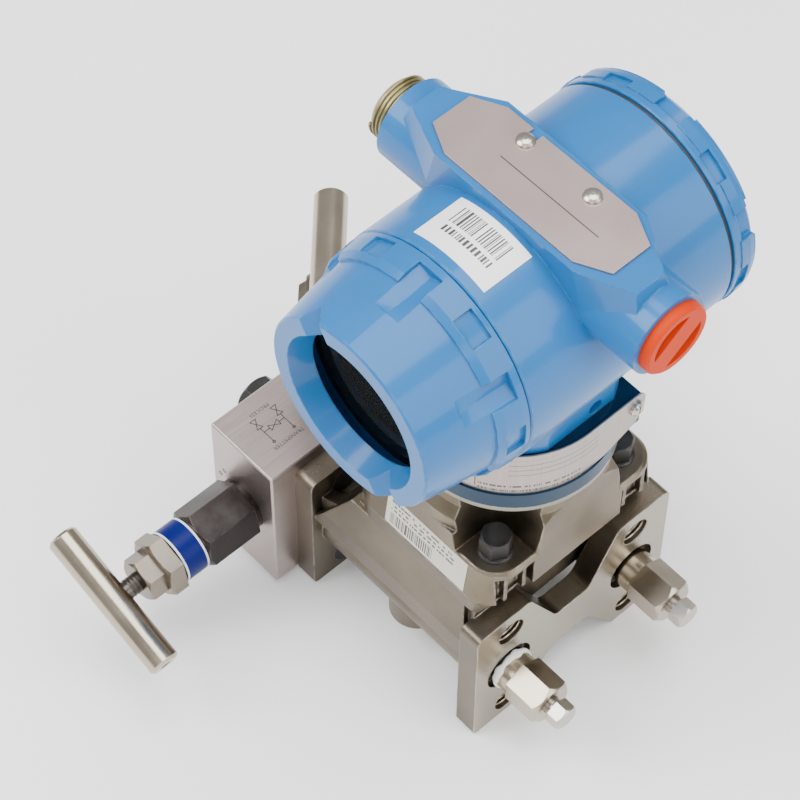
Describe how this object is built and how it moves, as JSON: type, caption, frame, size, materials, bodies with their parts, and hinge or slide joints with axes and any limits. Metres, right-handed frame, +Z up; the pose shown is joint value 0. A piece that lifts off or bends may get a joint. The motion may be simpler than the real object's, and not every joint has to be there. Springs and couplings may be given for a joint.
{
  "type": "differential pressure transmitter",
  "caption": "Differential pressure transmitter: round display housing turning on a square sensor module, cast process flange, manifold block with T-handle needle valves and drain valves.",
  "frame": {"origin": "on the sensor module's vertical swivel axis, in the plane of the flange's feet", "axes": "+Z up along the swivel axis; +Y along the housing from the display cover to the terminal cover; +X towards the drain valves"},
  "size_m": [0.1514, 0.2216, 0.2141],
  "materials": {
    "cast_steel": "satin, as cast",
    "machined_steel": "fine machined",
    "bright_steel": "bright turned",
    "black_steel": "black oxide",
    "brown_steel": "dark bronze plated",
    "blue_paint": "glossy enamel",
    "plate_steel": "satin sheet",
    "window_glass": "clear toughened",
    "seal_rubber": "black, matt",
    "seal_white": "white fluoropolymer",
    "orange_plastic": "semi-matt moulding",
    "yellow_metal": "olive passivated",
    "band_blue": "printed sleeve",
    "dark_plastic": "semi-matt",
    "grey_plastic": "semi-matt"
  },
  "bodies": {
    "flange_and_module": {"process_flange": "cast_steel", "manifold_block": "machined_steel", "manifold_bolts": "black_steel", "manifold_seals": "seal_white", "sensor_module": "cast_steel", "module_seals": "seal_white", "module_bolts": "black_steel", "module_collar": "blue_paint", "rating_plate": "plate_steel", "rating_plate_screw": "bright_steel", "low_drain_body": "bright_steel", "high_drain_body": "bright_steel", "low_isolate_bonnet": "brown_steel", "low_isolate_label_band": "band_blue", "low_isolate_lock_nut": "bright_steel", "low_isolate_packing_nut": "bright_steel", "high_isolate_bonnet": "brown_steel", "high_isolate_label_band": "band_blue", "high_isolate_lock_nut": "bright_steel", "high_isolate_packing_nut": "bright_steel", "equalise_bonnet": "brown_steel", "equalise_label_band": "band_blue", "equalise_lock_nut": "bright_steel", "equalise_packing_nut": "bright_steel"},
    "housing": {"electronics_housing": "blue_paint", "rotation_set_screw": "bright_steel", "electronics_board": "grey_plastic", "display_module": "dark_plastic", "terminal_block": "dark_plastic", "terminal_screws": "bright_steel", "tag_pivot_screw": "bright_steel", "tag_lock_screw": "bright_steel", "conduit_adapter": "yellow_metal", "terminal_cover_seal": "seal_rubber"},
    "display_cover": {"display_cover": "blue_paint", "cover_glass": "window_glass", "glass_retainer": "black_steel", "display_cover_seal": "seal_rubber"},
    "terminal_cover": {"terminal_cover": "blue_paint"},
    "tag_plate": {"tag_plate": "plate_steel"},
    "entry_plug": {"conduit_plug": "orange_plastic"},
    "low_isolate_spindle": {"low_isolate_stem": "bright_steel", "low_isolate_handle": "bright_steel"},
    "high_isolate_spindle": {"high_isolate_stem": "bright_steel", "high_isolate_handle": "bright_steel"},
    "equalise_spindle": {"equalise_stem": "bright_steel", "equalise_handle": "bright_steel"},
    "low_drain_spindle": {"low_drain_stem": "bright_steel"},
    "high_drain_spindle": {"high_drain_stem": "bright_steel"}
  },
  "joints": [
    {"name": "housing_swivel", "type": "hinge", "parent": "flange_and_module", "child": "housing", "pos_m": [0, 0, 0.1317], "axis": [0, 0, 1], "range_deg": [-180, 180]},
    {"name": "display_cover_turn", "type": "hinge", "parent": "housing", "child": "display_cover", "pos_m": [0, -0.03165, 0.171], "axis": [0, -1, 0], "range_deg": [0, 1800]},
    {"name": "terminal_cover_turn", "type": "hinge", "parent": "housing", "child": "terminal_cover", "pos_m": [0, 0.048, 0.171], "axis": [0, 1, 0], "range_deg": [0, 1800]},
    {"name": "tag_plate_swing", "type": "hinge", "parent": "housing", "child": "tag_plate", "pos_m": [0.0131, 0.0129, 0.2117], "axis": [0, 0, 1], "range_deg": [0, 90]},
    {"name": "entry_plug_turn", "type": "hinge", "parent": "housing", "child": "entry_plug", "pos_m": [0.051, 0.0057, 0.19475], "axis": [1, 0, 0], "range_deg": [0, 1800]},
    {"name": "low_isolate_turn", "type": "hinge", "parent": "flange_and_module", "child": "low_isolate_spindle", "pos_m": [-0.06735, -0.051, 0.0335], "axis": [0, -1, 0], "range_deg": [-360, 720]},
    {"name": "high_isolate_turn", "type": "hinge", "parent": "flange_and_module", "child": "high_isolate_spindle", "pos_m": [-0.06735, 0.051, 0.0335], "axis": [0, 1, 0], "range_deg": [-360, 720]},
    {"name": "equalise_turn", "type": "hinge", "parent": "flange_and_module", "child": "equalise_spindle", "pos_m": [-0.06735, -0.0128, 0.0626], "axis": [0, 0, 1], "range_deg": [-360, 720]},
    {"name": "low_drain_turn", "type": "hinge", "parent": "flange_and_module", "child": "low_drain_spindle", "pos_m": [0.0317, -0.027, 0.028], "axis": [1, 0, 0], "range_deg": [0, 720]},
    {"name": "high_drain_turn", "type": "hinge", "parent": "flange_and_module", "child": "high_drain_spindle", "pos_m": [0.0317, 0.027, 0.028], "axis": [1, 0, 0], "range_deg": [0, 720]}
  ]
}
